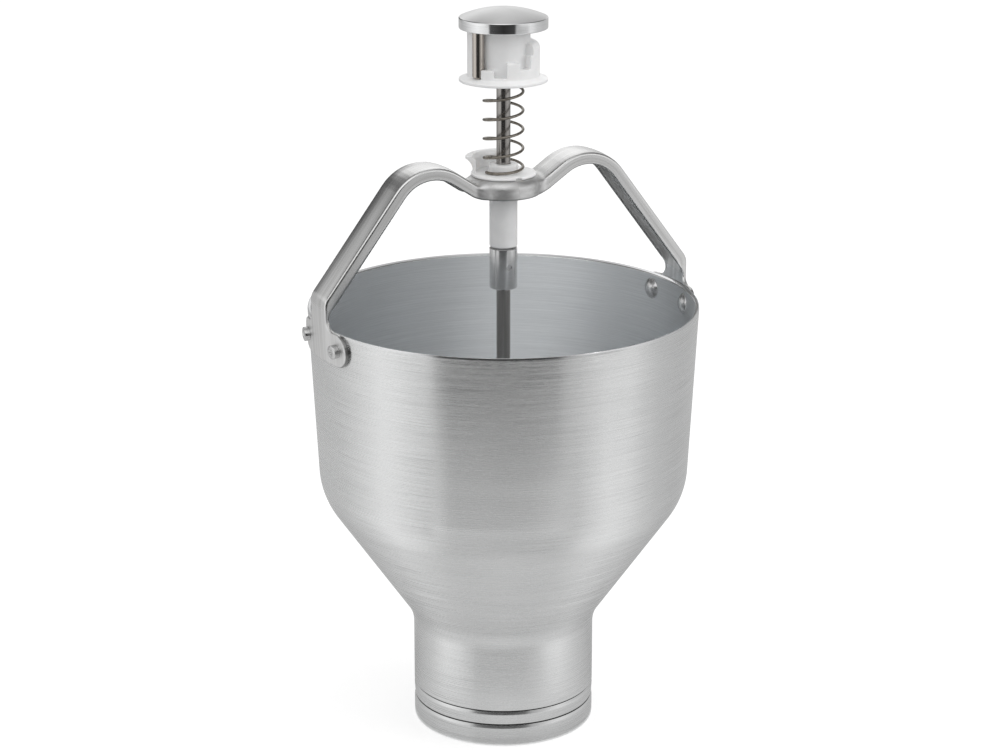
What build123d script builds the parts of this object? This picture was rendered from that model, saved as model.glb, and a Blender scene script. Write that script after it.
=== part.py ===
from build123d import *
from math import asin, atan, cos, degrees, pi, radians, sin, sqrt, tan
import os

# Hand-held batter dispenser: a spun hopper, a riveted bail handle and a spring-return plunger.
# Millimetres, +Z up. The origin is the centre of the foot, on the surface that the hopper stands on.
# The handle spans the hopper's mouth along X. The plunger is drawn at rest, with its knob up.

os.makedirs("parts", exist_ok=True)

# Fits and clearances
seat_clearance = 0.05
running_clearance = 0.08
pin_clearance = 0.05
body_clearance = 0.3
stop_gap = 0.4

# Hopper: outer sizes of the spun bowl, where its straight lines would meet before the bends
hopper_wall = 1.8
rim_radius = 89.2
hopper_height = 202.0
shoulder_radius = 84.8
shoulder_height = 114.0
shoulder_bend = 34.0
neck_radius = 42.15
neck_height = 52.7
neck_bend = 20.0
rim_rounding = 0.7
foot_rounding = 0.8

# Two grooves rolled into the neck, which hold the nozzle cylinder
groove_heights = (9.9, 16.9)
groove_radius = 1.2
groove_depth = 0.9
band_inset = 0.4

# Nozzle cylinder in the neck
nozzle_bore_radius = 25.0
nozzle_bore_height = 26.0
nozzle_wall = 3.0
funnel_height = 38.0
foot_recess = 0.5

# Handle: one channel of sheet steel, heights above the hopper's rim
handle_sheet = 1.8
handle_width = 17.0
flange_depth = 5.8
channel_rounding = 2.6
dip_rise = 56.8
dip_half_length = 14.6
dip_bend = 6.0
rise_angle = 33.5
hump_bend = 22.8
leg_angle = 52.8
leg_bend = 20.0
web_land = 1.8
web_end_rise = 3.5
flange_end_rise = 4.8
flange_end_fillet = 1.5

# Round boss in the middle of the handle
boss_rise = 59.7
boss_radius = 16.5
boss_depth = 8.5
boss_rounding = 4.0
boss_blend = 3.0
blend_reach = 22.0
blend_overhang = 0.2

# Riveting tabs at the handle's ends
tab_rounding = 7.7
tab_neck_rise = 7.0
tab_neck_fillet = 4.5
rivet_drop = 7.5
rivet_pitch = 30.6

# Rivets
rivet_radius = 2.4
rivet_hole_radius = 2.5
rivet_head_radius = 4.9
rivet_head_height = 2.2
rivet_end_radius = 3.15
rivet_end_height = 2.7
rivet_end_chamfer = 0.7
rivet_dimple_radius = 1.3
rivet_dimple_depth = 0.8

# Guide bush
bush_disc_radius = 14.7
bush_disc_thickness = 1.1
bush_ring_radius = 6.6
bush_ring_height = 4.0
sleeve_radius = 6.35
sleeve_length = 33.3
sleeve_chamfer = 0.6
fin_height = 7.3
fin_inner_radius = 12.4
fin_thickness = 1.5
fin_lip_radius = 17.2
fin_lip_thickness = 1.6
fin_start_angle = 74.0
fin_span = 85.0
bush_notch_angle = 273.0
bush_notch_width = 3.0
bush_notch_depth = 2.4

# Plunger rods and the collar that couples them
rod_radius = 3.175
rod_chamfer = 0.5
collar_radius = 6.35
collar_length = 19.0
collar_chamfer = 0.4
collar_pin_radius = 1.25
collar_pin_drop = 8.4
rod_joint_drop = 5.0

# Travel of the plunger, and of the dial when it is drawn down off its pin
stroke = 29.0
dial_draw = 4.9

# Portion dial
dial_flange_radius = 19.9
dial_flange_edge = 1.2
dial_flange_thickness = 2.6
dial_ring_radius = 16.15
dial_core_radius = 12.0
dial_height = 23.2
spring_pocket_radius = 10.6
spring_pocket_depth = 12.0
low_wall_height = 4.2
middle_wall_height = 7.5
high_wall_height = 10.3
high_wall_end_angle = 299.2
tall_wall_height = 15.2
tall_wall_end_angle = 378.0
tall_wall_rounding = 2.8
wall_rounding = 0.3
notch_floors = (0.0, 1.0, 4.2)
notch_step = 43.5

# Index pin under the knob, which stands in the dial's first notch
index_pin_radius = 2.6
index_pin_angle = 195.4
index_pin_seat = 3.0

# Knob
knob_radius = 19.9
knob_band = 5.0
knob_dome = 4.2
knob_rounding = 0.6
knob_bore_depth = 5.5

# Return spring
wire_radius = 0.65
spring_mean_radius = 8.8
spring_half_turns = 13
spring_end_rise = 2.3
spring_start_angle = 183.0

# Piston on the lower rod
feed_gap = 10.0
piston_height = 14.0
piston_hub_radius = 8.0
piston_hub_height = 10.0
piston_chamfer = 1.2
piston_pin_radius = 1.25
piston_pin_rise = 5.0

# Cutter disc at the lower rod's end
cutter_rise = 0.6
cutter_edge = 3.0
cutter_height = 9.0
cutter_hub_radius = 7.0
cutter_recess_radius = 8.0
cutter_recess_depth = 4.6
stud_radius = 2.5
washer_radius = 6.5
washer_thickness = 1.0
nut_across_flats = 8.0
nut_thickness = 3.0

# Places worked out from the sizes above
wall_slope = (rim_radius - shoulder_radius) / (hopper_height - shoulder_height)
neck_bore = neck_radius - hopper_wall
boss_top = hopper_height + boss_rise
bush_top = boss_top + bush_disc_thickness
fin_top = bush_top + fin_height
sleeve_end = boss_top - sleeve_length
collar_top = sleeve_end - body_clearance
collar_end = collar_top - collar_length
rod_joint = collar_top - rod_joint_drop
dial_base = fin_top + stroke + dial_draw + stop_gap
dial_floor = dial_base + dial_flange_thickness
dial_top = dial_base + dial_height
knob_base = dial_top + body_clearance
knob_top = knob_base + knob_band + knob_dome
index_pin_reach = dial_core_radius + body_clearance + index_pin_radius
piston_base = nozzle_bore_height + feed_gap
piston_top = piston_base + piston_height
piston_pin_height = piston_top + piston_pin_rise
plunger_radius = nozzle_bore_radius - body_clearance
cutter_seat = cutter_rise + cutter_recess_depth


def wall_radius(height):
    """Outer radius of the hopper's straight wall at a height, also above the rim."""
    return rim_radius + wall_slope * (height - hopper_height)


# Rivet places: planes on the hopper's outer wall, Z along each rivet and out of the hopper
rivet_height = hopper_height - rivet_drop
rivet_angle = degrees(asin(rivet_pitch / 2 / wall_radius(rivet_height)))
rivet_planes = []
for middle_angle in (0, 180):
    for side_angle in (-rivet_angle, rivet_angle):
        turn = radians(middle_angle + side_angle)
        outward = Vector(cos(turn), sin(turn), -wall_slope)
        on_wall = Vector(cos(turn), sin(turn), 0) * wall_radius(rivet_height)
        rivet_planes.append(Plane(origin=on_wall + Vector(0, 0, rivet_height), z_dir=outward))

# Hopper: one wall line, thickened inwards and spun, with the grooves rolled in after
with BuildPart() as hopper:
    with BuildSketch(Plane.XZ):
        with BuildLine():
            FilletPolyline(
                (neck_radius, 0),
                (neck_radius, neck_height),
                (shoulder_radius, shoulder_height),
                (rim_radius, hopper_height),
                radius=[neck_bend, shoulder_bend],
            )
            offset(amount=hopper_wall, side=Side.LEFT)
        make_face()
    revolve(axis=Axis.Z)
    fillet(edges().filter_by(GeomType.CIRCLE).group_by(Axis.Z)[-1], rim_rounding)
    fillet(edges().filter_by(GeomType.CIRCLE).group_by(Axis.Z)[0].sort_by(SortBy.RADIUS)[-1], foot_rounding)
    with BuildSketch(Plane.XZ):
        for height in groove_heights:
            with Locations((neck_bore + groove_radius - groove_depth, height)):
                Circle(groove_radius)
    revolve(axis=Axis.Z)
    with BuildSketch(Plane.XZ):
        for height in groove_heights:
            with Locations((neck_radius + groove_radius - groove_depth, height)):
                Circle(groove_radius)
        with Locations((neck_radius - band_inset, groove_heights[0])):
            band_height = groove_heights[1] - groove_heights[0]
            Rectangle(groove_radius, band_height, align=(Align.MIN, Align.MIN))
    revolve(axis=Axis.Z, mode=Mode.SUBTRACT)
    with Locations(*rivet_planes):
        Hole(rivet_hole_radius, depth=2 * hopper_wall)
hopper.part.label = "hopper"
export_step(hopper.part, "parts/hopper.step")

# Nozzle cylinder: a bore, a funnel above it, and a skirt that the rolled grooves grip
with BuildPart() as nozzle_cylinder:
    skirt_radius = neck_bore - seat_clearance
    funnel_lip = funnel_height - nozzle_wall
    with BuildSketch(Plane.XZ):
        with BuildLine():
            Polyline(
                (nozzle_bore_radius, foot_recess),
                (nozzle_bore_radius + nozzle_wall, foot_recess),
                (nozzle_bore_radius + nozzle_wall, nozzle_bore_height - nozzle_wall),
                (skirt_radius - nozzle_wall, funnel_lip - nozzle_wall),
                (skirt_radius - nozzle_wall, foot_recess),
                (skirt_radius, foot_recess),
                (skirt_radius, funnel_height),
                (skirt_radius - nozzle_wall / 2, funnel_height),
                (nozzle_bore_radius, nozzle_bore_height),
                close=True,
            )
        make_face()
    revolve(axis=Axis.Z)
    with BuildSketch(Plane.XZ):
        for height in groove_heights:
            with Locations((neck_bore + groove_radius - groove_depth, height)):
                Circle(groove_radius + seat_clearance)
    revolve(axis=Axis.Z, mode=Mode.SUBTRACT)
nozzle_cylinder.part.label = "nozzle_cylinder"
export_step(nozzle_cylinder.part, "parts/nozzle_cylinder.step")

# Riveting tab at the handle's +X end: a plate bent to the wall, two lobes and a neck
with BuildPart() as tab:
    tab_bottom = rivet_height - tab_rounding
    tab_top = hopper_height + 2 * tab_neck_rise
    tab_half_angle = degrees(asin((rivet_pitch / 2 + tab_rounding) / rim_radius)) + 1
    with BuildSketch(Plane.XZ.rotated((0, 0, -tab_half_angle))):
        with BuildLine():
            Polyline(
                (wall_radius(tab_bottom) + seat_clearance, tab_bottom),
                (wall_radius(tab_bottom) + seat_clearance + handle_sheet, tab_bottom),
                (wall_radius(tab_top) + seat_clearance + handle_sheet, tab_top),
                (wall_radius(tab_top) + seat_clearance, tab_top),
                close=True,
            )
        make_face()
    revolve(axis=Axis.Z, revolution_arc=2 * tab_half_angle)
    with BuildSketch(Plane.YZ):
        with Locations((0, rivet_height)):
            SlotCenterToCenter(rivet_pitch, 2 * tab_rounding)
        with Locations((0, rivet_height)):
            Rectangle(handle_width, tab_neck_rise + rivet_drop, align=(Align.CENTER, Align.MIN))
        shoulder_corners = vertices().filter_by_position(
            Axis.Y, rivet_height + tab_rounding - 0.01, rivet_height + tab_rounding + 0.01
        )
        neck_corners = shoulder_corners.filter_by_position(Axis.X, -handle_width / 2, handle_width / 2)
        fillet(neck_corners, tab_neck_fillet)
    extrude(amount=2 * rim_radius, mode=Mode.INTERSECT)

# Handle: the channel swept along its bent web line, with the boss, the tabs and their openings
tab_face = handle_sheet + seat_clearance
leg_turn = radians(90 - leg_angle) + atan(wall_slope)
web_end_height = hopper_height + web_end_rise
leg_height = web_end_height + web_land + leg_bend * tan(leg_turn / 2)
dip_height = hopper_height + dip_rise
rise_slope = tan(radians(rise_angle))
leg_slope = tan(radians(leg_angle))
web_end = (wall_radius(web_end_height) + tab_face, web_end_height)
leg_corner = (wall_radius(leg_height) + tab_face, leg_height)
leg_start_height = leg_height + leg_slope * leg_corner[0]
rise_start_height = dip_height - rise_slope * dip_half_length
hump_reach = (leg_start_height - rise_start_height) / (rise_slope + leg_slope)
hump_corner = (hump_reach, rise_start_height + rise_slope * hump_reach)
dip_corner = (dip_half_length, dip_height)
half_web = [web_end, leg_corner, hump_corner, dip_corner]
web_points = [(-x, z) for x, z in half_web] + half_web[::-1]
half_bends = [leg_bend, hump_bend, dip_bend]

with BuildLine(Plane.XZ) as web_line:
    FilletPolyline(web_points, radius=half_bends + half_bends[::-1])

# Blend between the boss and the channel: its corners rounded in plan, its foot cut to the rising flanges
with BuildPart() as blend:
    boss_foot = boss_top - boss_depth
    with BuildSketch(Plane.XY.offset(boss_foot)):
        Circle(boss_radius)
        Rectangle(2 * blend_reach, handle_width)
        fillet(vertices().filter_by_position(Axis.X, -boss_radius, boss_radius), boss_blend)
    extrude(amount=dip_height - boss_foot)
    foot_drop = flange_depth / cos(radians(rise_angle)) + blend_overhang
    foot_start = dip_half_length + (boss_foot + foot_drop - dip_height) / rise_slope
    foot_end_height = boss_foot + (blend_reach - foot_start) * rise_slope
    with BuildSketch(Plane.XZ):
        with BuildLine():
            Polyline((foot_start, boss_foot), (blend_reach, boss_foot), (blend_reach, foot_end_height), close=True)
        make_face()
        mirror(about=Plane.YZ)
    extrude(amount=boss_radius, both=True, mode=Mode.SUBTRACT)

with BuildPart() as handle:
    with BuildSketch(Plane(origin=web_line.line @ 0, x_dir=(0, 1, 0), z_dir=web_line.line % 0)):
        Rectangle(handle_width, flange_depth, align=(Align.CENTER, Align.MAX))
        fillet(vertices().group_by(Axis.Y)[-1], channel_rounding)
        with Locations((0, -handle_sheet)):
            channel_inside = handle_width - 2 * handle_sheet
            Rectangle(channel_inside, flange_depth, align=(Align.CENTER, Align.MAX), mode=Mode.SUBTRACT)
    sweep(path=web_line.line)
    with BuildSketch(Plane.XZ):
        tab_middle = seat_clearance + handle_sheet / 2
        flange_end_height = hopper_height + flange_end_rise
        flange_end = (wall_radius(flange_end_height) + tab_middle, flange_end_height)
        cut_foot = (wall_radius(hopper_height) + tab_middle, hopper_height)
        cut_reach = 2 * flange_depth
        cut_inner = (flange_end[0] - cut_reach, flange_end[1] + leg_slope * cut_reach)
        with BuildLine():
            Polyline(flange_end, cut_inner, (cut_inner[0], hopper_height), cut_foot, close=True)
        make_face()
        fillet(vertices().sort_by(Axis.X)[-1], flange_end_fillet)
        mirror(about=Plane.YZ)
    extrude(amount=handle_width, both=True, mode=Mode.SUBTRACT)
    add(tab.part)
    add(tab.part.mirror(Plane.YZ))
    with BuildSketch(Plane.XZ):
        with Locations((0, boss_top)):
            Rectangle(boss_radius, boss_depth, align=(Align.MIN, Align.MAX))
        fillet(vertices().group_by(Axis.Y)[-1].sort_by(Axis.X)[-1], boss_rounding)
    revolve(axis=Axis.Z)
    add(blend.part)
    with BuildSketch(Plane.XZ):
        with Locations((0, boss_top - handle_sheet)):
            Rectangle(boss_radius - handle_sheet, boss_depth + flange_depth, align=(Align.MIN, Align.MAX))
        fillet(vertices().group_by(Axis.Y)[-1].sort_by(Axis.X)[-1], boss_rounding - handle_sheet)
    revolve(axis=Axis.Z, mode=Mode.SUBTRACT)
    with BuildSketch(Plane.XY.offset(boss_foot)):
        Circle(boss_radius - handle_sheet)
        Rectangle(2 * blend_reach, channel_inside)
        inner_corners = vertices().filter_by_position(Axis.X, -boss_radius, boss_radius)
        fillet(inner_corners, boss_blend + handle_sheet)
    extrude(amount=dip_height - handle_sheet - boss_foot, mode=Mode.SUBTRACT)
    with BuildSketch(Plane.XY.offset(boss_top)):
        Circle(sleeve_radius + seat_clearance)
    extrude(amount=-boss_depth, mode=Mode.SUBTRACT)
    with Locations(*rivet_planes):
        Hole(rivet_hole_radius, depth=2 * handle_sheet)
handle.part.label = "handle"
export_step(handle.part, "parts/handle.step")

# Rivets: a domed head inside the hopper, a shank, and a dimpled end outside the tab
with BuildPart() as rivet:
    head_sag = rivet_head_radius**2 / 2 / (rim_radius - hopper_wall)
    head_face = -hopper_wall - head_sag - seat_clearance
    end_face = tab_face + seat_clearance
    with BuildSketch(Plane.XZ):
        with BuildLine():
            shank = Polyline(
                (0, head_face - rivet_head_height),
                (0, end_face + rivet_end_height - rivet_dimple_depth),
                (rivet_dimple_radius, end_face + rivet_end_height),
                (rivet_end_radius - rivet_end_chamfer, end_face + rivet_end_height),
                (rivet_end_radius, end_face + rivet_end_height - rivet_end_chamfer),
                (rivet_end_radius, end_face),
                (rivet_radius, end_face),
                (rivet_radius, head_face),
                (rivet_head_radius, head_face),
            )
            dome_radius = (rivet_head_radius**2 + rivet_head_height**2) / 2 / rivet_head_height
            RadiusArc(shank @ 1, shank @ 0, dome_radius)
        make_face()
    revolve(axis=Axis.Z)

with BuildPart() as handle_rivets:
    with Locations(*rivet_planes):
        add(rivet.part)
handle_rivets.part.label = "handle_rivets"
export_step(handle_rivets.part, "parts/handle_rivets.step")

# Guide bush: base disc, ring round the rod, sleeve below the handle, and the curved stop fin
with BuildPart() as guide_bush:
    bush_bore = rod_radius + running_clearance
    with BuildSketch(Plane.XZ):
        with BuildLine():
            Polyline(
                (bush_bore, sleeve_end),
                (sleeve_radius - sleeve_chamfer, sleeve_end),
                (sleeve_radius, sleeve_end + sleeve_chamfer),
                (sleeve_radius, boss_top),
                (bush_disc_radius, boss_top),
                (bush_disc_radius, bush_top),
                (bush_ring_radius, bush_top),
                (bush_ring_radius, bush_top + bush_ring_height),
                (bush_bore, bush_top + bush_ring_height),
                close=True,
            )
        make_face()
    revolve(axis=Axis.Z)
    ring_edge = edges().filter_by(GeomType.CIRCLE).group_by(Axis.Z)[-1].sort_by(SortBy.RADIUS)[-1]
    fillet(ring_edge, sleeve_chamfer)
    fin_outer_radius = fin_inner_radius + fin_thickness
    with BuildSketch(Plane.XZ.rotated((0, 0, fin_start_angle))):
        with BuildLine():
            fin_inside = Polyline(
                (fin_outer_radius, bush_top - bush_disc_thickness / 2),
                (fin_inner_radius, bush_top - bush_disc_thickness / 2),
                (fin_inner_radius, fin_top - fin_lip_thickness),
                (fin_inner_radius + fin_lip_thickness, fin_top),
                (fin_lip_radius, fin_top),
                (fin_lip_radius, fin_top - fin_lip_thickness / 2),
            )
            flare_start = (fin_outer_radius, bush_top + fin_height / 4)
            flare = RadiusArc(fin_inside @ 1, flare_start, -fin_height)
            Line(flare @ 1, fin_inside @ 0)
        make_face()
    revolve(axis=Axis.Z, revolution_arc=fin_span)
    with BuildSketch(Plane.XY.offset(boss_top)):
        with PolarLocations(bush_disc_radius, 1, start_angle=bush_notch_angle):
            Rectangle(2 * bush_notch_depth, bush_notch_width)
    extrude(amount=bush_disc_thickness, mode=Mode.SUBTRACT)
guide_bush.part.label = "guide_bush"
export_step(guide_bush.part, "parts/guide_bush.step")

# Upper rod, from the collar up into the knob
with BuildPart() as upper_rod:
    with BuildSketch(Plane.XY.offset(rod_joint + body_clearance)):
        Circle(rod_radius)
    extrude(amount=knob_base + knob_bore_depth - rod_joint - 2 * body_clearance)
    chamfer(edges().filter_by(GeomType.CIRCLE), rod_chamfer)
upper_rod.part.label = "upper_rod"
export_step(upper_rod.part, "parts/upper_rod.step")

# Collar that couples the rods and meets the sleeve's end when the plunger is up
collar_pin_height = collar_top - collar_pin_drop
with BuildPart() as rod_collar:
    with BuildSketch(Plane.XY.offset(collar_end)):
        Circle(collar_radius)
    extrude(amount=collar_length)
    chamfer(edges().filter_by(GeomType.CIRCLE), collar_chamfer)
    with BuildSketch(Plane.XY.offset(collar_end)):
        Circle(rod_radius + seat_clearance)
    extrude(amount=collar_length, mode=Mode.SUBTRACT)
    with BuildSketch(Plane.XZ):
        with Locations((0, collar_pin_height)):
            Circle(collar_pin_radius + pin_clearance)
    extrude(amount=collar_radius, both=True, mode=Mode.SUBTRACT)
rod_collar.part.label = "rod_collar"
export_step(rod_collar.part, "parts/rod_collar.step")

# Cross pin that holds the lower rod in the collar
with BuildPart() as collar_pin:
    with BuildSketch(Plane.XZ):
        with Locations((0, collar_pin_height)):
            Circle(collar_pin_radius)
    extrude(amount=collar_radius - collar_chamfer, both=True)
collar_pin.part.label = "collar_pin"
export_step(collar_pin.part, "parts/collar_pin.step")

# Lower rod, with a stepped stud at its end for the cutter, and a hole for each cross pin
with BuildPart() as lower_rod:
    cutter_top = cutter_rise + cutter_height
    with BuildSketch(Plane.XY.offset(cutter_top)):
        Circle(rod_radius)
    extrude(amount=rod_joint - cutter_top)
    chamfer(edges().filter_by(GeomType.CIRCLE).group_by(Axis.Z)[-1], rod_chamfer)
    stud_end = cutter_rise + foot_recess
    with BuildSketch(Plane.XY.offset(stud_end)):
        Circle(stud_radius)
    extrude(amount=cutter_top - stud_end)
    with BuildSketch(Plane.XZ):
        with Locations((0, collar_pin_height)):
            Circle(collar_pin_radius + pin_clearance)
        with Locations((0, piston_pin_height)):
            Circle(piston_pin_radius + pin_clearance)
    extrude(amount=2 * rod_radius, both=True, mode=Mode.SUBTRACT)
lower_rod.part.label = "lower_rod"
export_step(lower_rod.part, "parts/lower_rod.step")

# Piston: a disc that runs in the nozzle's bore, and a hub for its cross pin
with BuildPart() as piston:
    with BuildSketch(Plane.XY.offset(piston_base)):
        Circle(plunger_radius)
    extrude(amount=piston_height)
    chamfer(edges().filter_by(GeomType.CIRCLE), piston_chamfer)
    with BuildSketch(Plane.XY.offset(piston_top)):
        Circle(piston_hub_radius)
    extrude(amount=piston_hub_height)
    with BuildSketch(Plane.XY.offset(piston_base)):
        Circle(rod_radius + seat_clearance)
    extrude(amount=piston_height + piston_hub_height, mode=Mode.SUBTRACT)
    with BuildSketch(Plane.XZ):
        with Locations((0, piston_pin_height)):
            Circle(piston_pin_radius + pin_clearance)
    extrude(amount=2 * piston_hub_radius, both=True, mode=Mode.SUBTRACT)
piston.part.label = "piston"
export_step(piston.part, "parts/piston.step")

# Cross pin that holds the piston on the rod
with BuildPart() as piston_pin:
    with BuildSketch(Plane.XZ):
        with Locations((0, piston_pin_height)):
            Circle(piston_pin_radius)
    extrude(amount=piston_hub_radius, both=True)
piston_pin.part.label = "piston_pin"
export_step(piston_pin.part, "parts/piston_pin.step")

# Cutter disc: a shearing edge, a conical top that sheds batter, and a recess for its nut
with BuildPart() as cutter_disc:
    with BuildSketch(Plane.XZ):
        with BuildLine():
            Polyline(
                (cutter_recess_radius, cutter_rise),
                (plunger_radius, cutter_rise),
                (plunger_radius, cutter_rise + cutter_edge),
                (cutter_hub_radius, cutter_rise + cutter_height),
                (stud_radius + seat_clearance, cutter_rise + cutter_height),
                (stud_radius + seat_clearance, cutter_seat),
                (cutter_recess_radius, cutter_seat),
                close=True,
            )
        make_face()
    revolve(axis=Axis.Z)
cutter_disc.part.label = "cutter_disc"
export_step(cutter_disc.part, "parts/cutter_disc.step")

# Washer and nut in the cutter's recess
with BuildPart() as cutter_washer:
    with BuildSketch(Plane.XY.offset(cutter_seat - washer_thickness)):
        Circle(washer_radius)
        Circle(stud_radius + seat_clearance, mode=Mode.SUBTRACT)
    extrude(amount=washer_thickness)
cutter_washer.part.label = "cutter_washer"
export_step(cutter_washer.part, "parts/cutter_washer.step")

with BuildPart() as cutter_nut:
    with BuildSketch(Plane.XY.offset(cutter_seat - washer_thickness - nut_thickness)):
        RegularPolygon(nut_across_flats / 2, 6, major_radius=False)
        Circle(stud_radius + seat_clearance, mode=Mode.SUBTRACT)
    extrude(amount=nut_thickness)
cutter_nut.part.label = "cutter_nut"
export_step(cutter_nut.part, "parts/cutter_nut.step")

# Portion dial: flange, core with the spring's pocket, and walls of five heights with three notches
notch_angles = [index_pin_angle + notch_step * place for place in range(len(notch_floors))]
full_wall_height = dial_height - dial_flange_thickness
walls = [
    (notch_angles[0], notch_angles[1], low_wall_height, wall_rounding),
    (notch_angles[1], notch_angles[2], middle_wall_height, wall_rounding),
    (notch_angles[2], high_wall_end_angle, high_wall_height, wall_rounding),
    (high_wall_end_angle, tall_wall_end_angle, tall_wall_height, tall_wall_rounding),
    (tall_wall_end_angle, notch_angles[0] + 360, full_wall_height, wall_rounding),
]
with BuildPart() as portion_dial:
    with BuildSketch(Plane.XZ):
        with BuildLine():
            Polyline(
                (0, dial_base),
                (dial_flange_radius, dial_base),
                (dial_flange_radius, dial_base + dial_flange_edge),
                (dial_ring_radius, dial_floor),
                (dial_core_radius, dial_floor),
                (dial_core_radius, dial_top),
                (0, dial_top),
                close=True,
            )
        make_face()
    revolve(axis=Axis.Z)
    for start_angle, end_angle, wall_height, rounding in walls:
        with BuildSketch(Plane.XZ.rotated((0, 0, start_angle))):
            with Locations((spring_pocket_radius, dial_floor + wall_height)):
                wall_thickness = dial_ring_radius - spring_pocket_radius
                Rectangle(wall_thickness, dial_flange_edge + wall_height, align=(Align.MIN, Align.MAX))
            fillet(vertices().group_by(Axis.Y)[-1].sort_by(Axis.X)[-1], rounding)
        revolve(axis=Axis.Z, revolution_arc=end_angle - start_angle)
    notch_width = 2 * (index_pin_radius + body_clearance)
    for notch_angle, notch_floor in zip(notch_angles, notch_floors):
        with BuildSketch(Plane.XY.offset(dial_floor + notch_floor)):
            with PolarLocations(dial_core_radius, 1, start_angle=notch_angle):
                Rectangle(dial_ring_radius, notch_width, align=(Align.MIN, Align.CENTER))
        extrude(amount=dial_height, mode=Mode.SUBTRACT)
    with BuildSketch(Plane.XY.offset(dial_base)):
        Circle(spring_pocket_radius)
    extrude(amount=spring_pocket_depth, mode=Mode.SUBTRACT)
    with BuildSketch(Plane.XY.offset(dial_base)):
        Circle(rod_radius + body_clearance)
    extrude(amount=dial_height, mode=Mode.SUBTRACT)
portion_dial.part.label = "portion_dial"
export_step(portion_dial.part, "parts/portion_dial.step")

# Knob: a band with a shallow dome, bored for the rod and the index pin
with BuildPart() as knob:
    dome_sphere = (knob_radius**2 + knob_dome**2) / 2 / knob_dome
    with BuildSketch(Plane.XZ):
        with BuildLine():
            band = Polyline((0, knob_top), (0, knob_base), (knob_radius, knob_base), (knob_radius, knob_base + knob_band))
            RadiusArc(band @ 1, band @ 0, -dome_sphere)
        make_face()
    revolve(axis=Axis.Z)
    fillet(edges().filter_by(GeomType.CIRCLE), knob_rounding)
    with BuildSketch(Plane.XY.offset(knob_base)):
        Circle(rod_radius + running_clearance)
    extrude(amount=knob_bore_depth, mode=Mode.SUBTRACT)
    with BuildSketch(Plane.XY.offset(knob_base)):
        with PolarLocations(index_pin_reach, 1, start_angle=index_pin_angle):
            Circle(index_pin_radius + seat_clearance)
    extrude(amount=index_pin_seat, mode=Mode.SUBTRACT)
knob.part.label = "knob"
export_step(knob.part, "parts/knob.step")

# Index pin, from its seat in the knob down to the dial's first notch
with BuildPart() as index_pin:
    pin_bottom = dial_floor + notch_floors[0] + body_clearance
    with BuildSketch(Plane.XY.offset(pin_bottom)):
        with PolarLocations(index_pin_reach, 1, start_angle=index_pin_angle):
            Circle(index_pin_radius)
    extrude(amount=knob_base + index_pin_seat - body_clearance - pin_bottom)
    chamfer(edges().filter_by(GeomType.CIRCLE), rod_chamfer)
index_pin.part.label = "index_pin"
export_step(index_pin.part, "parts/index_pin.step")

# Return spring: half turns of a right-hand helix, closer at both ends, each drawn as two tangent arcs
spring_bottom = bush_top + wire_radius + seat_clearance
spring_top = dial_base + spring_pocket_depth - wire_radius - body_clearance
spring_half_pitch = (spring_top - spring_bottom - 2 * spring_end_rise) / (spring_half_turns - 2)
spring_rises = [spring_half_pitch] * spring_half_turns
spring_rises[0] = spring_end_rise
spring_rises[-1] = spring_end_rise
turn_points = []
turn_heights = [spring_bottom]
for rise in spring_rises:
    turn_heights.append(turn_heights[-1] + rise)
turn_slopes = [(before + after) / 2 for before, after in zip(spring_rises, spring_rises[1:])]
turn_slopes = [0, *turn_slopes, 0]
turn_tangents = []
for place, (height, slope) in enumerate(zip(turn_heights, turn_slopes)):
    turn = radians(spring_start_angle) + pi * place
    turn_points.append(Vector(spring_mean_radius * cos(turn), spring_mean_radius * sin(turn), height))
    around = pi * spring_mean_radius
    turn_tangents.append(Vector(-sin(turn) * around, cos(turn) * around, slope).normalized())

with BuildPart() as return_spring:
    with BuildLine() as wire_line:
        Line(turn_points[0] - turn_tangents[0] * 2 * wire_radius, turn_points[0])
        for place in range(spring_half_turns):
            start, end = turn_points[place], turn_points[place + 1]
            leave, arrive = turn_tangents[place], turn_tangents[place + 1]
            span = end - start
            lean = leave + arrive
            bend = 2 * (1 - leave.dot(arrive))
            reach = (sqrt(span.dot(lean) ** 2 + bend * span.dot(span)) - span.dot(lean)) / bend
            middle = (start + end + (leave - arrive) * reach) / 2
            first_arc = TangentArc(start, middle, tangent=leave)
            TangentArc(middle, end, tangent=first_arc % 1)
        Line(turn_points[-1], turn_points[-1] + turn_tangents[-1] * 2 * wire_radius)
    with BuildSketch(Plane(origin=wire_line.line @ 0, z_dir=wire_line.line % 0)):
        Circle(wire_radius)
    sweep(path=wire_line.line)
return_spring.part.label = "return_spring"
export_step(return_spring.part, "parts/return_spring.step")

# Least gap between the spring's turns, measured on points along the wire half a turn or more apart
sample_count = 24 * spring_half_turns
samples = [wire_line.line @ (place / sample_count) for place in range(sample_count + 1)]
half_turn_samples = sample_count // spring_half_turns
least_gap = min(
    (samples[first] - samples[second]).length
    for first in range(len(samples))
    for second in range(first + half_turn_samples, len(samples))
) - 2 * wire_radius
print(f"least gap between the spring's turns: {least_gap:.2f} mm")
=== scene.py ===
import bmesh
import bpy
import math
import numpy as np
from mathutils import Matrix, Vector


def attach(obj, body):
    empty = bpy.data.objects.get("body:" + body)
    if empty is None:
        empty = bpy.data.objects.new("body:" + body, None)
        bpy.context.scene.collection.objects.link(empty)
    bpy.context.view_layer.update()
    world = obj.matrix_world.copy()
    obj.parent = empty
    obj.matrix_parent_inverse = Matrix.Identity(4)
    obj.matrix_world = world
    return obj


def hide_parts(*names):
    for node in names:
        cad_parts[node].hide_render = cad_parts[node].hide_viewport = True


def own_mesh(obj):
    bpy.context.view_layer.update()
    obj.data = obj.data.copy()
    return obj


# Hand-held batter dispenser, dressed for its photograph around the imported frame.
# Sizes are in millimetres, as in the part's source, and become metres where a mesh is made.

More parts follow.
